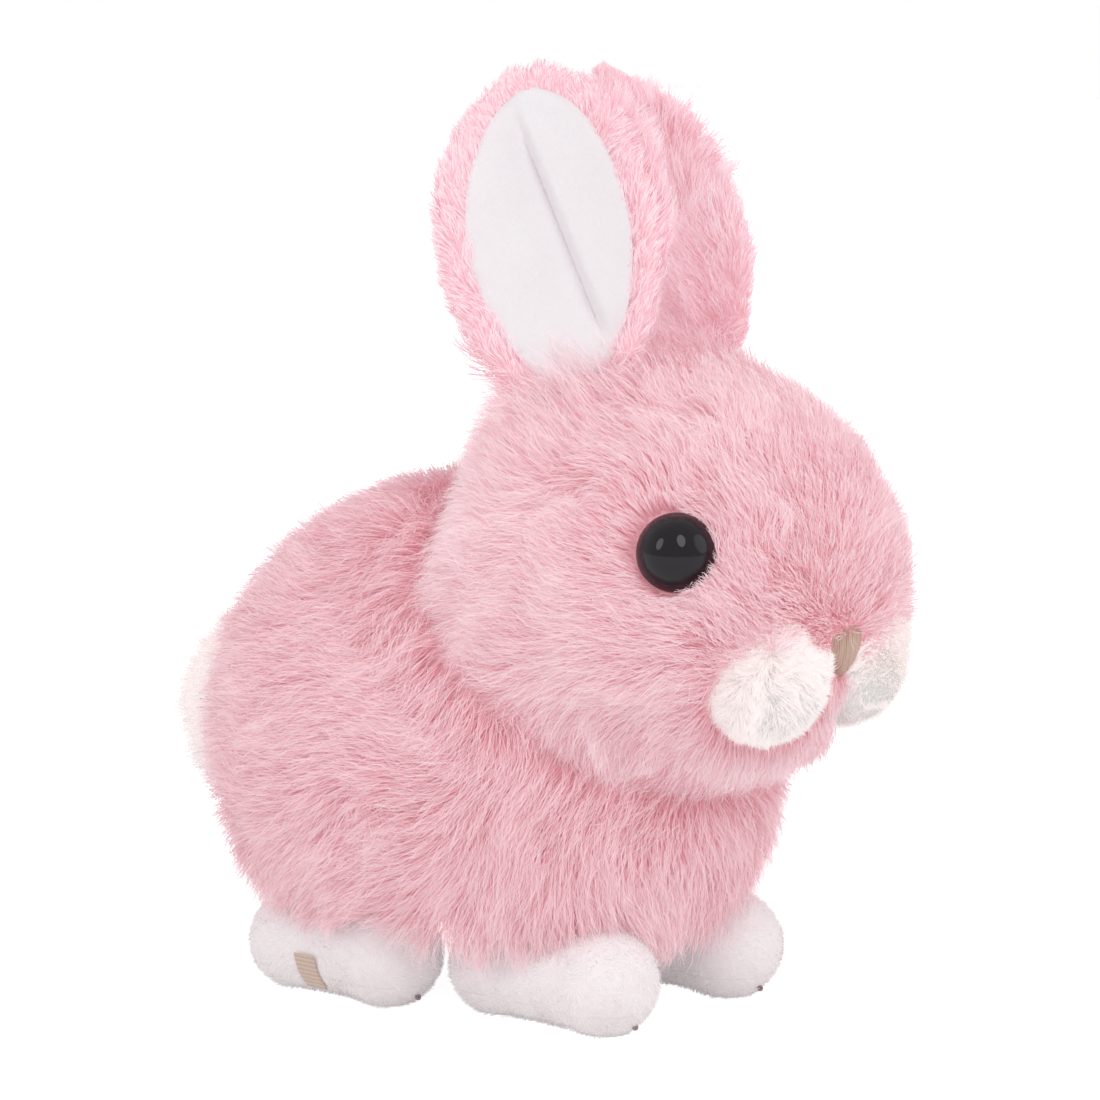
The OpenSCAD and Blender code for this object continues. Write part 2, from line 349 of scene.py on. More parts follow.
def keep_side(piece, point, direction, fill=False):
    """Cuts the piece with a plane and keeps the side that direction points to."""
    take(piece)
    bpy.ops.object.mode_set(mode="EDIT")
    bpy.ops.mesh.select_all(action="SELECT")
    bpy.ops.mesh.bisect(plane_co=point, plane_no=direction, clear_inner=True, use_fill=fill)
    bpy.ops.object.mode_set(mode="OBJECT")
    return piece


def twin(piece, name):
    made = piece.copy()
    made.data = piece.data.copy()
    made.name = name
    made.data.name = name
    bpy.context.scene.collection.objects.link(made)
    return made


def join(pieces, name):
    bpy.ops.object.select_all(action="DESELECT")
    for piece in pieces:
        piece.select_set(True)
    bpy.context.view_layer.objects.active = pieces[0]
    bpy.ops.object.join()
    made = bpy.context.active_object
    made.name = name
    made.data.name = name
    return made


def spots(mesh):
    found = np.empty(len(mesh.vertices) * 3, np.float32)
    mesh.vertices.foreach_get("co", found)
    return found.reshape(-1, 3).astype(float)


def put(mesh, found):
    mesh.vertices.foreach_set("co", found.astype(np.float32).ravel())
    mesh.update()


def unit(vectors):
    return vectors / np.maximum(np.linalg.norm(vectors, axis=-1, keepdims=True), 1e-9)


def ramp(value, low, high):
    """0 below low, 1 above high, and smooth between."""
    share = np.clip((value - low) / (high - low), 0, 1)
    return share * share * (3 - 2 * share)


def surface(piece):
    """What pile is planted on: the piece's triangles and its smooth normals.

    A mesh may be stored in another order on another run, so the triangles are put in an order that only
    their own places set."""
    mesh = piece.data
    co = spots(mesh)
    rank = np.empty(len(co), int)
    rank[np.lexsort(np.round(co, 7).T)] = np.arange(len(co))
    fans = []
    for face in mesh.polygons:
        ring = list(face.vertices)
        start = int(np.argmin(rank[ring]))
        ring = ring[start:] + ring[:start]
        fans += [(ring[0], ring[k], ring[k + 1]) for k in range(1, len(ring) - 1)]
    corners = np.array(fans)
    corners = corners[np.lexsort(rank[corners].T)]
    normals = np.array([v.normal for v in mesh.vertices], float)
    return co, corners, normals


WAVES = np.random.default_rng(31)
WAVE_WAY = unit(WAVES.normal(size=(24, 3)))
WAVE_SIZE = WAVES.uniform(0.010, 0.034, 24)
WAVE_START = WAVES.uniform(0, 6.283, 24)
WAVE_PUSH = unit(WAVES.normal(size=(24, 3)))


def drift(points, smaller=1.0):
    """A smooth wandering vector at each point, about 1 long."""
    phase = points @ WAVE_WAY.T * 6.283 / (WAVE_SIZE * smaller) + WAVE_START
    return np.sin(phase) @ WAVE_PUSH * 0.5


def nearest(points, centres):
    tree = kdtree.KDTree(len(centres))
    for index, centre in enumerate(centres):
        tree.insert(centre, index)
    tree.balance()
    return np.array([tree.find(point)[1] for point in points])


TONES = 24


def plant(piece, ground, count, length, comb, seed, width=0.155, lift=(56, 34, 14), only=None, press=None,
          tuft=9, lock=120, pull=(0.28, 0.10), wander=0.30, spread=13, joints=3, droop=0.0, twist=0.45, stand=None, frizz=0.09):
    """Plants pile on ground and joins it with the piece's backing in one mesh.

    comb gives the way that the pile lies at each root, length its length in metres, lift the angles off the
    cloth along a strand, stand the angle added to it, and press moves points clear of a neighbour."""
    rng = np.random.default_rng(seed)
    co, tri, normals = ground
    a, b, c = (co[tri[:, k]] for k in range(3))
    area = np.linalg.norm(np.cross(b - a, c - a), axis=1)
    if only is not None:
        area = area * only((a + b + c) / 3)
    chance = np.cumsum(area) / area.sum()
    chosen = np.minimum(np.searchsorted(chance, (np.arange(count) + rng.random(count)) / count), len(tri) - 1)
    rng.shuffle(chosen)
    r1 = np.sqrt(rng.random(count))[:, None]
    r2 = rng.random(count)[:, None]
    share = (1 - r1, r1 * (1 - r2), r1 * r2)
    root = sum(s * co[tri[chosen, k]] for k, s in enumerate(share))
    up = unit(sum(s * normals[tri[chosen, k]] for k, s in enumerate(share)))
    if only is not None:
        kept = only(root) > rng.random(count)
        root, up = root[kept], up[kept]
    count = len(root)
    way = unit(comb(root, up)) + wander * drift(root) + wander * 0.5 * drift(root, 0.4)
    way = way - up * np.sum(way * up, axis=1, keepdims=True)
    way = unit(unit(way) + rng.normal(size=(count, 3)) * 0.16)
    way = unit(way - up * np.sum(way * up, axis=1, keepdims=True))
    size = length(root) if callable(length) else np.full(count, length)
    size = (size * np.clip(rng.normal(1, 0.11, count), 0.65, 1.3))[:, None]
    tilt = np.radians(rng.normal(0, spread, (count, 1)))
    if stand is not None:
        tilt = tilt + np.radians(stand(root))[:, None]
    steps = {3: (0.38, 0.36, 0.26), 2: (0.55, 0.45)}[joints]
    points = [root - up * 0.2 * MM]
    for step, angle in zip(steps, lift):
        angle = np.radians(angle) + tilt
        points.append(points[-1] + size * step * (way * np.cos(angle) + up * np.sin(angle)))
    for k in range(1, len(points)):
        points[k] = points[k] + rng.normal(size=(count, 3)) * size * frizz * (k / joints) ** 1.5
    if droop:
        for k in range(1, len(points)):
            points[k] = points[k] + np.array([0, 0, -droop]) * size * (k / joints) ** 2
    for every, strength in ((tuft, pull[0]), (lock, pull[1])):
        heads = rng.choice(count, max(2, count // every), replace=False)
        owner = heads[nearest(root, root[heads])]
        reach = np.linalg.norm(root[owner] - root, axis=1, keepdims=True)
        hold = strength * np.clip(1.3 - reach / (6 * MM), 0, 1)
        for k in range(1, len(points)):
            grip = hold * (k / joints) ** 1.6
            points[k] = points[k] * (1 - grip) + points[k][owner] * grip
        if every == tuft:
            family = owner
    if press is not None:
        points = [points[0]] + [press(p) for p in points[1:]]
    lean = rng.normal(0, twist, (count, 1))
    thick = [width * MM * k for k in ((1.0, 1.0, 0.72), (1.0, 0.8))[3 - joints]]
    wide = rng.uniform(0.75, 1.25, (count, 1))
    rows = []
    row_normals = []
    for k in range(joints):
        along = unit(points[k + 1] - points[k])
        side = unit(np.cross(along, up))
        over = unit(np.cross(side, along))
        side = side * np.cos(lean) + over * np.sin(lean)
        face = unit(np.cross(side, along))
        half = side * wide * thick[k] / 2
        rows += [points[k] - half, points[k] + half]
        soft = unit(face + up * 0.3)
        row_normals += [soft - side * 0.3, soft + side * 0.3]
    rows.append(points[-1])
    row_normals.append(unit(face + up * 0.3))
    per = len(rows)
    strand_co = np.stack(rows, 1).reshape(-1, 3)
    strand_no = unit(np.stack(row_normals, 1).reshape(-1, 3))
    family_tone = rng.normal(0, 0.20, count)[family]
    tone = 0.42 + family_tone + 0.16 * drift(root, 1.2)[:, 0] + rng.normal(0, 0.12, count)
    column = np.clip(np.round(tone * TONES), 0, TONES - 1)
    left, right = (column + 0.2) / TONES, (column + 0.8) / TONES
    heights = (0.06, 0.40, 0.72, 0.97) if joints == 3 else (0.30, 0.68, 0.97)
    mesh = piece.data
    base_co = spots(mesh)
    base_no = np.array([v.normal for v in mesh.vertices], float)
    base_faces = [tuple(p.vertices) for p in mesh.polygons]
    start = len(base_co)
    first = start + np.arange(count)[:, None] * per
    quads = np.concatenate([first + np.array([[2 * k, 2 * k + 1, 2 * k + 3, 2 * k + 2]]) for k in range(joints - 1)])
    tips = first + np.array([[per - 3, per - 2, per - 1]])
    made = bpy.data.meshes.new(piece.name)
    made.from_pydata(np.concatenate([base_co, strand_co]).tolist(), [],
                     base_faces + quads.tolist() + tips.tolist())
    made.polygons.foreach_set("use_smooth", [True] * len(made.polygons))
    sheet = made.uv_layers.new(name="OFBake")
    # The backing takes a colour near the strands' root end, so it carries the same painted shade down in the gaps.
    bases = []
    for face in base_faces:
        for k in range(len(face)):
            turn = 6.283 * k / len(face)
            bases.append((0.30 + 0.012 * math.cos(turn), 0.10 + 0.012 * math.sin(turn)))
    quad_uv = []
    for k in range(joints - 1):
        low, high = np.full(count, heights[k]), np.full(count, heights[k + 1])
        quad_uv.append(np.stack([left, low, right, low, right, high, left, high], 1))
    low, high = np.full(count, heights[joints - 1]), np.full(count, heights[joints])
    tip_uv = np.stack([left, low, right, low, (left + right) / 2, high], 1)
    sheet.data.foreach_set("uv", np.concatenate([np.array(bases, float).ravel(), np.concatenate(quad_uv).ravel(),
                                                 tip_uv.ravel()]).astype(np.float32))
    made.normals_split_custom_set_from_vertices(np.concatenate([base_no, strand_no]).tolist())
    piece.data = made
    return piece


def finish_piece(piece, material, body, replaced):
    piece.data.materials.clear()
    piece.data.materials.append(material)
    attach(piece, body)
    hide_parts(*replaced)


def out_of_ball(points, centre, radius):
    away = points - centre
    far = np.linalg.norm(away, axis=1, keepdims=True)
    return np.where(far < radius, centre + away / np.maximum(far, 1e-6) * radius, points)


# ---------------------------------------------------------------- body
def body_comb(p, n):
    """Down the chest, back along the flanks, and down again to the hem."""
    rear = ramp(p[:, 1], -0.034, -0.006)
    hem = ramp(p[:, 2], 0.046, 0.022)
    neck = ramp(np.linalg.norm(p - SKULL, axis=1), 0.058, 0.046) * ramp(p[:, 2], 0.060, 0.075)
    back = np.stack([np.zeros(len(p)), rear * (1 - 0.45 * hem) * (1 - 0.8 * neck),
                     -0.10 - (1 - rear) - 0.75 * hem - 0.9 * neck], 1)
    return back + 0.25 * np.stack([p[:, 0] * 12, np.zeros(len(p)), np.zeros(len(p))], 1) * hem[:, None]


def body_length(p):
    return 12.8 * MM * (1 - 0.26 * ramp(p[:, 2], 0.078, 0.100))


def body_ground(p):
    clear = np.linalg.norm(p - SKULL, axis=1) > 0.0418
    outer = np.sum(((p - BODY) / (BODY_R - BACKING)) ** 2, axis=1) > 0.97
    return (clear & outer & (p[:, 2] > BELLY_TOP - 0.0005)).astype(float)


def body_press(p):
    return out_of_ball(p, SKULL, 0.0385)


backing = ball("body_backing", BODY, BODY_R - BACKING, 72, 48)
keep_side(backing, (0, 0, BELLY_TOP), (0, 0, 1))
socket = ball("socket", SKULL, [0.0413] * 3, 72, 48)
modify(backing, "BOOLEAN", operation="DIFFERENCE", object=socket, solver="EXACT")
bpy.data.objects.remove(socket)
bpy.ops.object.shade_smooth()

for side, sign in (("left", 1), ("right", -1)):
    half = twin(backing, "body_fur_" + side)
    keep_side(half, (0, 0, 0), (sign, 0, 0))
    ground = surface(half)
    modify(half, "SOLIDIFY", thickness=0.5 * MM, offset=-1)
    plant(half, ground, 44000, body_length, body_comb, 11 + sign, width=0.18, only=body_ground, press=body_press, droop=0.06)
    finish_piece(half, body_pile_painted_darker, "body", ["body_side_" + side])
bpy.data.objects.remove(backing)

belly = ball("belly_velour", (0, BODY[1], 0.0226), (0.0395, 0.0515, 0.0045), 64, 24)
keep_side(belly, (0, 0, 0.0232), (0, 0, -1), fill=True)
modify(belly, "BEVEL", width=0.4 * MM, segments=2, limit_method="ANGLE", angle_limit=0.6)
finish_piece(belly, white_velour, "body", ["belly_panel"])


# ---------------------------------------------------------------- tail
def tail_comb(p, n):
    return (p - (TAIL + np.array([0, 0.012, 0.006]))) * 20 + drift(p, 0.6) * 1.2


def tail_ground(p):
    return (np.sum(((p - BODY) / (BODY_R - 0.002)) ** 2, axis=1) > 1).astype(float)


tail = ball("tail_fur", TAIL, [0.0150] * 3, 40, 28)
tail_spots = surface(tail)
plant(tail, tail_spots, 13000, 11.0 * MM, tail_comb, 21, only=tail_ground, lift=(58, 40, 20), width=0.17,
      wander=0.6, spread=14)
finish_piece(tail, white_pile, "body", ["tail_cover"])


# ---------------------------------------------------------------- head
def head_radius(way, centre, inset):
    """How far the head's two balls reach from centre along each way, rounded where they meet."""
    reach = []
    for middle in (SKULL, FACE):
        off = middle - centre
        along = way @ off
        reach.append(along + np.sqrt(np.maximum(along ** 2 - off @ off + (HEAD_R - inset) ** 2, 0)))
    longest = np.maximum(*reach)
    return longest + 0.0008 * np.exp(-np.abs(reach[0] - reach[1]) / 0.0022)


HEAD_MIDDLE = (SKULL + FACE) / 2
head_backing = ball("head_backing", HEAD_MIDDLE, [0.05] * 3, 96, 64)
way = unit(spots(head_backing.data) - HEAD_MIDDLE)
put(head_backing.data, HEAD_MIDDLE + way * head_radius(way, HEAD_MIDDLE, BACKING)[:, None])


def eye_at(sign):
    return np.array([abs(EYE_RAY[0]) * sign, EYE_RAY[1], EYE_RAY[2]])


def off_axis(p, sign):
    """How far a point is from an eye's axis."""
    away = p - FACE
    ray = eye_at(sign)
    along = away @ ray
    return np.where(along > 0, np.linalg.norm(away - along[:, None] * ray, axis=1), 1.0)


def off_seam(p, sign):
    """How far a point is from the seam that an ear stands on."""
    middle = np.array([abs(EAR_ROOT[0]) * sign, EAR_ROOT[1], EAR_ROOT[2] - 0.002])
    along = np.array([-0.4514 * -sign, 0.8489, -0.2750])
    share = np.clip((p - middle) @ along, -0.012, 0.012)
    return np.linalg.norm(p - middle - share[:, None] * along, axis=1)


def head_comb(p, n):
    """Away from the muzzle and the eyes, and down at the jaw and the back of the head."""
    way = unit(p - np.array([0, -0.086, 0.080]))
    for sign in (-1, 1):
        near = np.exp(-(off_axis(p, sign) / 0.014) ** 2)[:, None]
        way = way + 0.45 * near * unit(p - (FACE + eye_at(sign) * 0.036))
    jaw = ramp(p[:, 2], 0.082, 0.062)
    nape = ramp(p[:, 1], -0.030, -0.004) * ramp(p[:, 2], 0.115, 0.088)
    down = np.stack([np.zeros(len(p)), np.zeros(len(p)), -0.9 * jaw - 1.6 * nape], 1)
    return way + down


NOSE_SPOT = np.array([0, -0.0745, 0.0830])


def head_length(p):
    size = np.full(len(p), 12.0 * MM)
    size = size * (1 - 0.42 * ramp(-p[:, 1], 0.064, 0.080))
    size = size * (1 - 0.30 * ramp(p[:, 2], 0.098, 0.110) * ramp(-p[:, 1], 0.030, 0.050))
    size = size * (1 - 0.34 * ramp(p[:, 1], -0.038, -0.012) * ramp(p[:, 2], 0.090, 0.106))
    size = size * (1 - 0.35 * ramp(-p[:, 1], 0.046, 0.060) * ramp(p[:, 2], 0.078, 0.066))
    size = size * (1 - 0.58 * np.exp(-(np.linalg.norm(p - NOSE_SPOT, axis=1) / 0.0085) ** 2))
    for sign in (-1, 1):
        size = size * (1 - 0.5 * ramp(off_axis(p, sign), 0.017, 0.009))
        size = size * (1 + 0.70 * np.exp(-(off_seam(p, sign) / 0.013) ** 2))
    size = size * (1 + 0.35 * ramp(p[:, 1], -0.022, -0.004) * ramp(p[:, 2], 0.100, 0.088))
    return size * (1 + 0.22 * ramp(p[:, 2], 0.084, 0.060)) * (1 + 0.12 * ramp(p[:, 1], -0.050, -0.020))


def head_ground(p):
    clear = (off_axis(p, -1) > 0.0073) & (off_axis(p, 1) > 0.0073)
    for sign in (-1, 1):
        puff = PUFF * np.array([sign, 1, 1])
        clear &= np.linalg.norm(p - puff, axis=1) > 0.0112
    nose = (np.abs(p[:, 0]) < 0.0046) & (p[:, 2] < 0.0814) & (p[:, 2] > 0.0740) & (p[:, 1] < -0.060)
    under = np.sum(((p - BODY) / (BODY_R - 0.010)) ** 2, axis=1) < 1
    return (clear & ~nose & ~under).astype(float)


def head_press(p):
    """Pile lies on the body's own pile."""
    off = (p - BODY) / (BODY_R - 0.004)
    deep = np.linalg.norm(off, axis=1, keepdims=True)
    return np.where(deep < 1, BODY + (p - BODY) / np.maximum(deep, 1e-6), p)


def head_stand(p):
    """Pile stands up along the seams of the ears."""
    return 36 * sum(np.exp(-(off_seam(p, sign) / 0.0105) ** 2) for sign in (-1, 1))


for side, sign in (("left", 1), ("right", -1)):
    part = twin(head_backing, "head_fur_" + side)
    keep_side(part, (sign * GUSSET_HALF, 0, 0), (sign, 0, 0))
    keep_side(part, (0, 0, CHIN_TOP), (0, 0, 1))
    ground = surface(part)
    modify(part, "SOLIDIFY", thickness=0.5 * MM, offset=-1)
    plant(part, ground, 32000, head_length, head_comb, 31 + sign, only=head_ground, press=head_press, stand=head_stand)
    finish_piece(part, head_pile, "head", ["head_side_" + side])

gusset = twin(head_backing, "gusset_fur")
keep_side(gusset, (GUSSET_HALF, 0, 0), (-1, 0, 0))
keep_side(gusset, (-GUSSET_HALF, 0, 0), (1, 0, 0))
keep_side(gusset, (0, 0, CHIN_TOP), (0, 0, 1))
ground = surface(gusset)
modify(gusset, "SOLIDIFY", thickness=0.5 * MM, offset=-1)
plant(gusset, ground, 24000, head_length, head_comb, 41, only=head_ground, press=head_press, stand=head_stand)
finish_piece(gusset, head_pile, "head", ["head_gusset"])

chin = twin(head_backing, "chin_fur")
keep_side(chin, (0, 0, CHIN_TOP), (0, 0, -1))
ground = surface(chin)
modify(chin, "SOLIDIFY", thickness=0.5 * MM, offset=-1)
plant(chin, ground, 16000, head_length, head_comb, 43, only=head_ground, press=head_press, stand=head_stand)
finish_piece(chin, head_pile, "head", ["chin_panel"])
bpy.data.objects.remove(head_backing)


# ---------------------------------------------------------------- muzzle
for side, sign in (("left", 1), ("right", -1)):
    middle = PUFF * np.array([sign, 1, 1]) + np.array([sign * 0.0004, 0.0008, 0.0026])
    whorl = middle + np.array([sign * 0.0075, -0.0080, 0.003])

    def muzzle_stand(p):
        return 20 * np.exp(-(np.linalg.norm(p - whorl, axis=1) / 0.005) ** 2)

    def muzzle_comb(p, n):
        return (p - whorl) * 60 + drift(p, 0.35) * 0.5 + np.array([0, 0.1, -0.1])

    def muzzle_ground(p):
        clear = np.linalg.norm(p - FACE, axis=1) > 0.0345
        nose = (np.abs(p[:, 0]) < 0.0048) & (p[:, 2] > 0.0755)
        return (clear & ~nose & (p[:, 0] * sign > -0.001)).astype(float)

    puff = ball("muzzle_fur_" + side, middle, [0.0100, 0.0101, 0.0116], 40, 28)
    ground = surface(puff)
    plant(puff, ground, 12500, 4.6 * MM, muzzle_comb, 51 + sign, only=muzzle_ground,
          lift=(58, 42, 30), width=0.17, wander=0.3, spread=14, tuft=14, lock=60, pull=(0.3, 0.2),
          stand=muzzle_stand)
    finish_piece(puff, white_pile, "head", ["muzzle_" + side])


# ---------------------------------------------------------------- nose
def tube(path, radius, sides=6, flat=0.7):
    """A thread's mesh along a path in a plane that faces the front."""
    path = np.array(path, float)
    along = unit(np.gradient(path, axis=0))
    out = np.array([0, -1.0, 0])
    across = unit(np.cross(along, out))
    proud = unit(np.cross(across, along))
    rows, faces = [], []
    for k in range(len(path)):
        for s in range(sides):
            turn = 2 * math.pi * s / sides
            rows.append(path[k] + radius * (across[k] * math.cos(turn) + proud[k] * flat * math.sin(turn)))
    for k in range(len(path) - 1):
        for s in range(sides):
            t = (s + 1) % sides
            faces.append((k * sides + s, k * sides + t, (k + 1) * sides + t, (k + 1) * sides + s))
    faces.append(tuple(range(sides - 1, -1, -1)))
    faces.append(tuple((len(path) - 1) * sides + s for s in range(sides)))
    return rows, faces


def threads(name, paths, radius, sides=6, flat=0.7):
    rows, faces = [], []
    for path in paths:
        more, sheets = tube(path, radius, sides, flat)
        faces += [tuple(v + len(rows) for v in face) for face in sheets]
        rows += more
    mesh = bpy.data.meshes.new(name)
    mesh.from_pydata([tuple(r) for r in rows], [], faces)
    made = bpy.data.objects.new(name, mesh)
    bpy.context.scene.collection.objects.link(made)
    take(made)
    bpy.ops.object.mode_set(mode="EDIT")
    bpy.ops.mesh.select_all(action="SELECT")
    bpy.ops.mesh.normals_make_consistent(inside=False)
    bpy.ops.object.mode_set(mode="OBJECT")
    bpy.ops.object.shade_smooth()
    return made


NOSE_TOP = 0.0855
NOSE_W, NOSE_H = 13.4, 12.4
NOSE_ARC = ((NOSE_W / 2) ** 2 + NOSE_H ** 2) / NOSE_W


def nose_face(x, z):
    """How far forward the padded nose stands, in metres, x and z in millimetres from its top's middle."""
    crown = max(0.0, 1 - (x / 7.6) ** 2 - ((z + 4.8) / 10.2) ** 2)
    return -0.0778 - 0.0021 * crown


stitches = []
for number in range(25):
    x = (number - 12) / 12 * (NOSE_W / 2 - 0.25)
    top = -NOSE_H + math.sqrt(NOSE_H ** 2 - x * x) + 0.25 * math.sin(number * 2.4)
    low = -math.sqrt(max(NOSE_ARC ** 2 - (abs(x) + NOSE_ARC - NOSE_W / 2) ** 2, 0.3)) - 0.3
    route = []
    for step in range(11):
        share = step / 10
        z = top + (low - top) * share
        pull = x * (1 - 0.16 * math.sin(share * 2.4)) + 0.10 * math.sin(number * 1.7 + share * 5)
        depth = nose_face(pull, z)
        if step in (0, 10):
            depth += 0.0011
        route.append((pull * MM, depth, NOSE_TOP + z * MM))
    stitches.append(route)
nose = threads("nose_stitches", stitches, 0.25 * MM, 8, 1.5)
pad = ball("nose_pad", (0, -0.0769, NOSE_TOP - 0.0050), (0.0057, 0.0014, 0.0050), 32, 20)
nose = join([nose, pad], "nose_stitches")
finish_piece(nose, nose_thread, "head", ["nose_stitching"])


# ---------------------------------------------------------------- eyes
DOME_R = (7.5 ** 2 + 6 ** 2) / 12
for side, sign in (("left", 1), ("right", -1)):
    ray = Vector(eye_at(sign))
    turn = ray.to_track_quat("Z", "Y").to_matrix().to_4x4()
    dome = ball("eye_dome_" + side, (0, 0, 6 - DOME_R), (DOME_R, DOME_R, DOME_R), 96, 64)
    keep_side(dome, (0, 0, 0), (0, 0, 1))
    collar = rod("collar", (0, 0, -0.5), 7.5, 1.0, sides=96)
    modify(collar, "BEVEL", width=0.25, segments=3, limit_method="ANGLE")
    stem = rod("stem", (0, 0, -5.2), 2.4, 9.6, sides=32)
    eye = join([dome, collar, stem], "eye_dome_" + side)
    eye.data.transform(Matrix.Translation(Vector(FACE) + ray * 0.0363) @ turn @ Matrix.Scale(MM, 4))
    take(eye)
    bpy.ops.object.shade_smooth_by_angle(angle=math.radians(35))
    finish_piece(eye, eye_finish(side), "head", ["eye_" + side])


# ---------------------------------------------------------------- ears
EAR_LEN, EAR_CUT, EAR_HALF = 62.0, 10.0, 21.5
CURL = 32.0


def leaf_half(z, inset):
    """Half the leaf's width at a height, in millimetres."""
    half_w = EAR_HALF - inset
    half_len = (EAR_LEN + EAR_CUT) / 2 - inset
    arc = (half_len ** 2 + half_w ** 2) / (2 * half_w)
    off = z - (EAR_LEN - EAR_CUT) / 2
    half = np.maximum(np.sqrt(np.maximum(arc ** 2 - off ** 2, 0)) - (arc - half_w), 0.01)
    return half_w * (half / half_w) ** np.where(off > 0, 0.68, 1.0)


def ear_place(side):
    place = Matrix.Translation(EAR_ROOT) @ EAR_TURN.to_4x4() @ Matrix.Scale(MM, 4)
    if side == "left":
        place = Matrix.Scale(-1, 4, (1, 0, 0)) @ place
    return place


def ear_sheet(name, inset, radius, columns, rows, low, shape=None):
    """A leaf of cloth, curled about the ear's long axis, in the ear's own millimetres."""
    bpy.ops.object.select_all(action="DESELECT")
    bpy.ops.mesh.primitive_grid_add(x_subdivisions=columns, y_subdivisions=rows, size=2)
    sheet = settle(bpy.context.active_object, name)
    found = spots(sheet.data)
    across, up = found[:, 0].copy(), (found[:, 1] + 1) / 2
    top = EAR_LEN - inset - 0.3
    z = low + (top - low) * np.sin(up * math.pi / 2) ** 0.9
    x = across * leaf_half(z, inset)
    curl = np.full(len(x), radius)
    if shape is not None:
        curl = curl + shape(across, up, x, z)
    y = CURL - np.sqrt(np.maximum(curl ** 2 - x ** 2, 1))
    put(sheet.data, np.stack([x, y, z], 1))
    return sheet


def crease_line(z):
    """Where the long fold of the lining runs, across the ear."""
    return 1.0 + (z - 46) * 0.22


def crease_bed(x, z):
    """How far the back's cloth gives way behind the fold."""
    return 1.6 * np.exp(-((x - crease_line(z) - 3) / 7) ** 2) * ramp(z, 2, 14) * ramp(z, 56, 42)


def back_wave(across, up, x, z):
    """The rim rolls forward a little and the cloth waves."""
    return crease_bed(x, z) - 0.9 * np.abs(across) ** 4 + 0.4 * np.sin(z / 6.5 + x / 7)


def lining_crease(across, up, x, z):
    """A long fold that runs down the lining, with the cloth crowned beside it."""
    line = x - crease_line(z)
    valley = 3.3 * np.exp(-np.maximum(line, 0) / 6.5)
    ridge = -2.2 * np.exp(-(np.minimum(line, 0) / 4.6) ** 2)
    side = ramp(line, -1.4, 1.2)
    fold = (valley * side + ridge * (1 - side)) * ramp(z, 2, 14) * ramp(z, 56, 42)
    edge = 0.9 * np.abs(across) ** 6
    return fold + edge - 0.7 * (1 - across ** 2)


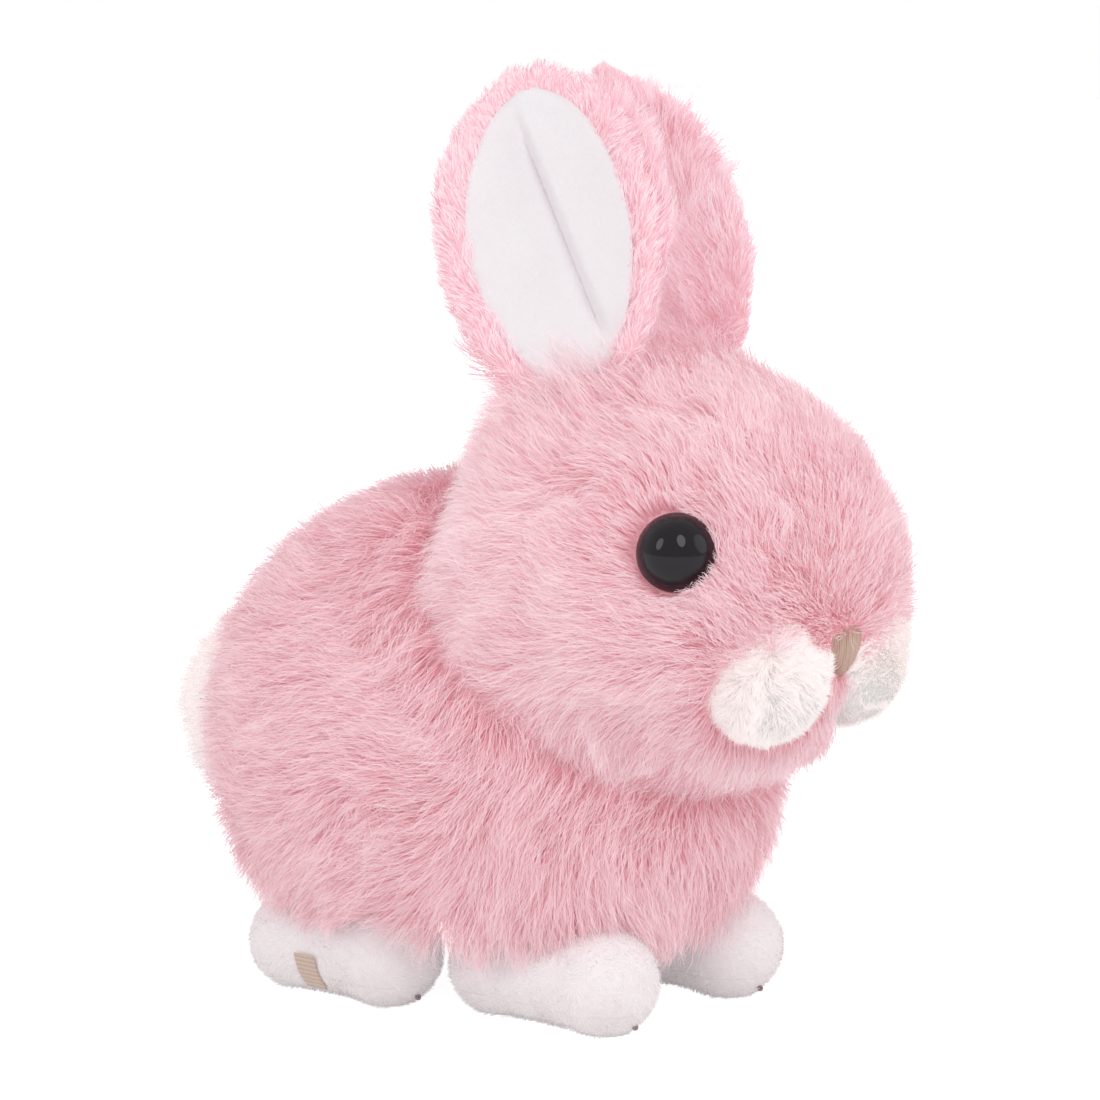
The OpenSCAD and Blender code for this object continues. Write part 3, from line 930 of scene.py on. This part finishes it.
for side, sign in (("left", 1), ("right", -1)):
    place = ear_place(side)
    inverse = place.inverted()
    turn_in = np.array(inverse.to_3x3())
    shift_in = np.array(inverse.translation)

    def in_leaf(p):
        return p @ turn_in.T + shift_in

    ear = ear_sheet("ear_fur_" + side, 0.8, 31.0, 28, 40, 0.4, back_wave)
    modify(ear, "SOLIDIFY", thickness=2.6, offset=0)
    modify(ear, "SUBSURF", levels=1, render_levels=1)
    roll = rod("roll", (0, 0, 0.4), 2.0, 22, (0, math.pi / 2, 0), 24)
    ear = join([ear, roll], "ear_fur_" + side)
    ear.data.transform(place)
    take(ear)
    bpy.ops.object.mode_set(mode="EDIT")
    bpy.ops.mesh.select_all(action="SELECT")
    bpy.ops.mesh.normals_make_consistent(inside=False)
    bpy.ops.object.mode_set(mode="OBJECT")
    bpy.ops.object.shade_smooth()
    tipward = np.array(place.to_3x3() @ Vector((0, 0, 1)))
    tipward = tipward / np.linalg.norm(tipward)
    sideward = np.array(place.to_3x3() @ Vector((1, 0, 0)))
    sideward = sideward / np.linalg.norm(sideward)

    def ear_comb(p, n):
        local = in_leaf(p)
        return tipward + sideward * (local[:, :1] / 26)

    def ear_ground(p):
        local = in_leaf(p)
        mouth = local[:, 1] - (CURL - np.sqrt(np.maximum(31.0 ** 2 - local[:, 0] ** 2, 1)))
        mouth = mouth + crease_bed(local[:, 0], local[:, 2])
        covered = (mouth > 0.2) & (np.abs(local[:, 0]) < leaf_half(local[:, 2], 6.3)) & (local[:, 2] < 55.5)
        return (~covered & (local[:, 2] > -2)).astype(float)

    def ear_length(p):
        local = in_leaf(p)
        mouth = local[:, 1] - (CURL - np.sqrt(np.maximum(31.0 ** 2 - local[:, 0] ** 2, 1)))
        mouth = mouth + crease_bed(local[:, 0], local[:, 2])
        inner = ramp(np.abs(local[:, 0]) / leaf_half(local[:, 2], 0), 0.95, 0.45) * ramp(local[:, 2], 60, 44)
        middle = ramp(-local[:, 0], 5, 15) * ramp(local[:, 2], 8, 22)
        foot = ramp(local[:, 0], 4, 13) * ramp(local[:, 2], 17, 4)
        outer = ramp(local[:, 0], 4, 13) * ramp(local[:, 2], 22, 36) * (sign > 0)
        back = 4.2 + np.maximum(6.0 * inner, np.maximum(4.6 * middle, 7.5 * foot))
        size = np.where(mouth > 0.2, 3.2, back) * (1 - (0.4 + 0.3 * (sign > 0)) * ramp(local[:, 2], 44, 58))
        return size * (1 - 0.5 * outer) * MM

    def ear_stand(p):
        local = in_leaf(p)
        mouth = local[:, 1] - (CURL - np.sqrt(np.maximum(31.0 ** 2 - local[:, 0] ** 2, 1)))
        mouth = mouth + crease_bed(local[:, 0], local[:, 2])
        inner = ramp(np.abs(local[:, 0]) / leaf_half(local[:, 2], 0), 0.9, 0.3)
        return np.where(mouth > 0.2, 0, 22 * inner)

    ground = surface(ear)
    plant(ear, ground, 19000, ear_length, ear_comb, 61 + sign, only=ear_ground, lift=(42, 20, 2), width=0.16,
          wander=0.28, spread=9, tuft=10, lock=60, pull=(0.3, 0.3), stand=ear_stand)
    finish_piece(ear, ear_pile_painted_paler, "ear_" + side, ["ear_back_" + side])

    lining = ear_sheet("ear_lining_velour_" + side, 5.3, 28.5, 72, 80, -1.0, lining_crease)
    modify(lining, "SOLIDIFY", thickness=1.3, offset=0)
    modify(lining, "BEVEL", width=0.35, segments=2, limit_method="ANGLE", angle_limit=0.9)
    lining.data.transform(place)
    take(lining)
    bpy.ops.object.mode_set(mode="EDIT")
    bpy.ops.mesh.select_all(action="SELECT")
    bpy.ops.mesh.normals_make_consistent(inside=False)
    bpy.ops.object.mode_set(mode="OBJECT")
    bpy.ops.object.shade_smooth_by_angle(angle=math.radians(50))
    finish_piece(lining, ear_velour, "ear_" + side, ["ear_lining_" + side])


# ---------------------------------------------------------------- paws
SEAM_Z = 0.0055
STRIP_Y = 0.03643 - (0.025 - 0.0065) / 2 + 0.001 - 0.00325
PAWS = (("front", 0.0200, -0.00945, 0.027), ("hind", 0.0295, 0.03643, 0.025))
velour_pile = pile_finish("velour pile", colour(240, 234, 235), colour(244, 239, 240), colour(248, 244, 245),
                          colour(249, 246, 246), 0.10)
for where, spread_x, heel_y, long in PAWS:
    for side, sign in (("left", 1), ("right", -1)):
        x = spread_x * sign
        parts = [
            ball("toe", (x, heel_y - long, 0.0107), [0.0110] * 3, 40, 28),
            ball("heel", (x, heel_y, 0.0097), [0.0100] * 3, 40, 28),
            rod("waist", (x, heel_y - long / 2, 0.0106), 0.0099, long, (math.pi / 2, 0, 0)),
            rod("leg", (x - sign * 0.003, heel_y - long * 0.4, 0.0166), 0.0076, 0.0120),
        ]
        paw = join(parts, "paw")
        modify(paw, "REMESH", mode="VOXEL", voxel_size=0.9 * MM, use_smooth_shade=True)
        modify(paw, "SMOOTH", factor=0.6, iterations=36)
        found = spots(paw.data)
        found[:, 2] = np.where(found[:, 2] < 0.0012, 0.0003 + found[:, 2] * 0.35, found[:, 2])
        found[:, 2] = np.maximum(found[:, 2], 0.0002)
        put(paw.data, found)
        for part, direction, replaced in (("cover", 1, "cover"), ("sole", -1, "sole")):
            name = where + "_paw_" + side + "_" + part + "_velour"
            piece = twin(paw, name)
            keep_side(piece, (0, 0, SEAM_Z), (0, 0, direction))
            ground = surface(piece)
            modify(piece, "SOLIDIFY", thickness=0.9 * MM, offset=-1)

            def paw_comb(p, n):
                away = p - np.array([x, heel_y - long * 0.45, 0.012])
                return away * np.array([0.4, 1.0, 0.2]) + drift(p, 0.5) * 0.008

            def paw_ground(p):
                strip_here = (np.abs(p[:, 1] - STRIP_Y) < 0.0030) & (p[:, 0] < -0.0295) & (p[:, 2] < 0.0115) & (p[:, 2] > 0.0022)
                return ((p[:, 2] > 0.0006) & (p[:, 2] < 0.0215) & ~strip_here).astype(float)

            amount = 9500 if part == "cover" else 4200
            plant(piece, ground, amount, 1.25 * MM, paw_comb, 71, only=paw_ground, joints=2, lift=(50, 26),
                  width=0.17, wander=0.6, spread=14, tuft=9, lock=70, pull=(0.2, 0.1))
            finish_piece(piece, velour_pile, "body", [where + "_paw_" + side + "_" + replaced])
        bpy.data.objects.remove(paw)


# ---------------------------------------------------------------- knots and strip
knots = []
for where, spread_x, heel_y, long in PAWS:
    for sign in (-1, 1):
        centre = np.array([spread_x * sign, heel_y - long - 0.0111 * math.sin(math.pi / 4),
                           0.0106 - 0.0111 * math.cos(math.pi / 4)])
        for loop in range(3):
            bpy.ops.object.select_all(action="DESELECT")
            bpy.ops.mesh.primitive_torus_add(location=centre, rotation=(0.7 + loop * 1.1, loop * 0.9, loop * 2.1),
                                             major_radius=0.00042, minor_radius=0.00024, major_segments=24,
                                             minor_segments=10)
            knots.append(settle(bpy.context.active_object, "knot"))
knot = join(knots, "toe_knot_loops")
bpy.ops.object.shade_smooth()
finish_piece(knot, knot_thread, "body", ["toe_knots"])

bpy.ops.object.select_all(action="DESELECT")
bpy.ops.mesh.primitive_grid_add(x_subdivisions=24, y_subdivisions=6, size=2)
strip = settle(bpy.context.active_object, "satin_strip")
found = spots(strip.data)
turn = math.radians(-52) + (found[:, 0] + 1) / 2 * math.radians(48)
reach = 0.0102 + 0.0003 * np.abs(found[:, 0]) ** 3
put(strip.data, np.stack([-0.0295 - reach * np.cos(turn), STRIP_Y + found[:, 1] * 0.0027,
                          0.0108 + reach * np.sin(turn)], 1))
modify(strip, "SOLIDIFY", thickness=0.35 * MM, offset=0)
modify(strip, "BEVEL", width=0.08 * MM, segments=2)
take(strip)
bpy.ops.object.mode_set(mode="EDIT")
bpy.ops.mesh.select_all(action="SELECT")
bpy.ops.mesh.normals_make_consistent(inside=False)
bpy.ops.object.mode_set(mode="OBJECT")
bpy.ops.object.shade_smooth_by_angle(angle=math.radians(40))
finish_piece(strip, satin, "body", ["foot_ribbon"])


# ---------------------------------------------------------------- inner pieces, as the CAD has them
inner = {"stuffing": filling_finish(), "bag": bag_finish(), "pellets": pellet_finish(), "washer": washer_finish()}
for name, node in nodes.items():
    for word, finish in inner.items():
        if word in name and not node.hide_render:
            node.data.materials.clear()
            node.data.materials.append(finish)


# ---------------------------------------------------------------- floor, light and camera
bpy.ops.object.select_all(action="DESELECT")
bpy.ops.mesh.primitive_plane_add(size=8, location=(0, 0, 0))
floor = settle(bpy.context.active_object, "floor")
paper = Finish("floor paper", Roughness=0.9, Specular_IOR_Level=0.1)
paper.shader.inputs["Base Color"].default_value = (0.97, 0.97, 0.97, 1)
glow = 0.0
for ray_kind in ("Is Camera Ray", "Is Glossy Ray", "Is Transmission Ray"):
    glow = paper.node("ShaderNodeLightPath", output=ray_kind) + glow
paper.shader.inputs["Emission Color"].default_value = (1, 1, 1, 1)
glow = glow.clamp() * 0.75
paper.tree.links.new(glow.socket, paper.shader.inputs["Emission Strength"])
floor.data.materials.append(paper.material)
floor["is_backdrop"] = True

world = bpy.data.worlds.new("studio")
bpy.context.scene.world = world
world.use_nodes = True
sky = world.node_tree.nodes["Background"]
rays = world.node_tree.nodes.new("ShaderNodeLightPath")
seen = world.node_tree.nodes.new("ShaderNodeMix")
seen.data_type = "RGBA"
kinds = [rays.outputs[kind] for kind in ("Is Camera Ray", "Is Glossy Ray", "Is Transmission Ray")]
total = kinds[0]
for kind in kinds[1:]:
    both = world.node_tree.nodes.new("ShaderNodeMath")
    both.use_clamp = True
    world.node_tree.links.new(total, both.inputs[0])
    world.node_tree.links.new(kind, both.inputs[1])
    total = both.outputs[0]
world.node_tree.links.new(total, seen.inputs[0])
seen.inputs[6].default_value = (0.60, 0.60, 0.605, 1)
seen.inputs[7].default_value = (1, 1, 1, 1)
world.node_tree.links.new(seen.outputs[2], sky.inputs["Color"])
sky.inputs["Strength"].default_value = 1.0


def lamp(name, place, aim, size, power):
    data = bpy.data.lights.new(name, "AREA")
    data.shape = "ELLIPSE"
    data.size, data.size_y = size
    data.energy = power
    made = bpy.data.objects.new(name, data)
    bpy.context.scene.collection.objects.link(made)
    made.location = place
    made.rotation_euler = (Vector(aim) - Vector(place)).to_track_quat("-Z", "Y").to_euler()


lamp("key window", (-0.72, -0.98, 1.20), (0, 0, 0.09), (0.62, 1.0), 5.8)
lamp("fill window", (-1.36, 0.40, 0.86), (0, 0, 0.09), (0.52, 0.85), 3.4)
lamp("front window", (0.75, -1.55, 0.85), (0, 0, 0.09), (1.3, 1.5), 4.8)

camera = bpy.data.objects.new("camera", bpy.data.cameras.new("camera"))
bpy.context.scene.collection.objects.link(camera)
camera.data.sensor_width = 36
camera.data.lens = 36 * 4212 / 1100
camera.location = (-0.6387, -0.5419, 0.2120)
aim = Vector((0.0071, 0.0, 0.0890)) - camera.location
camera.rotation_euler = aim.to_track_quat("-Z", "Y").to_euler()
bpy.context.scene.camera = camera
bpy.context.scene.view_settings.view_transform = "Standard"

low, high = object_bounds()
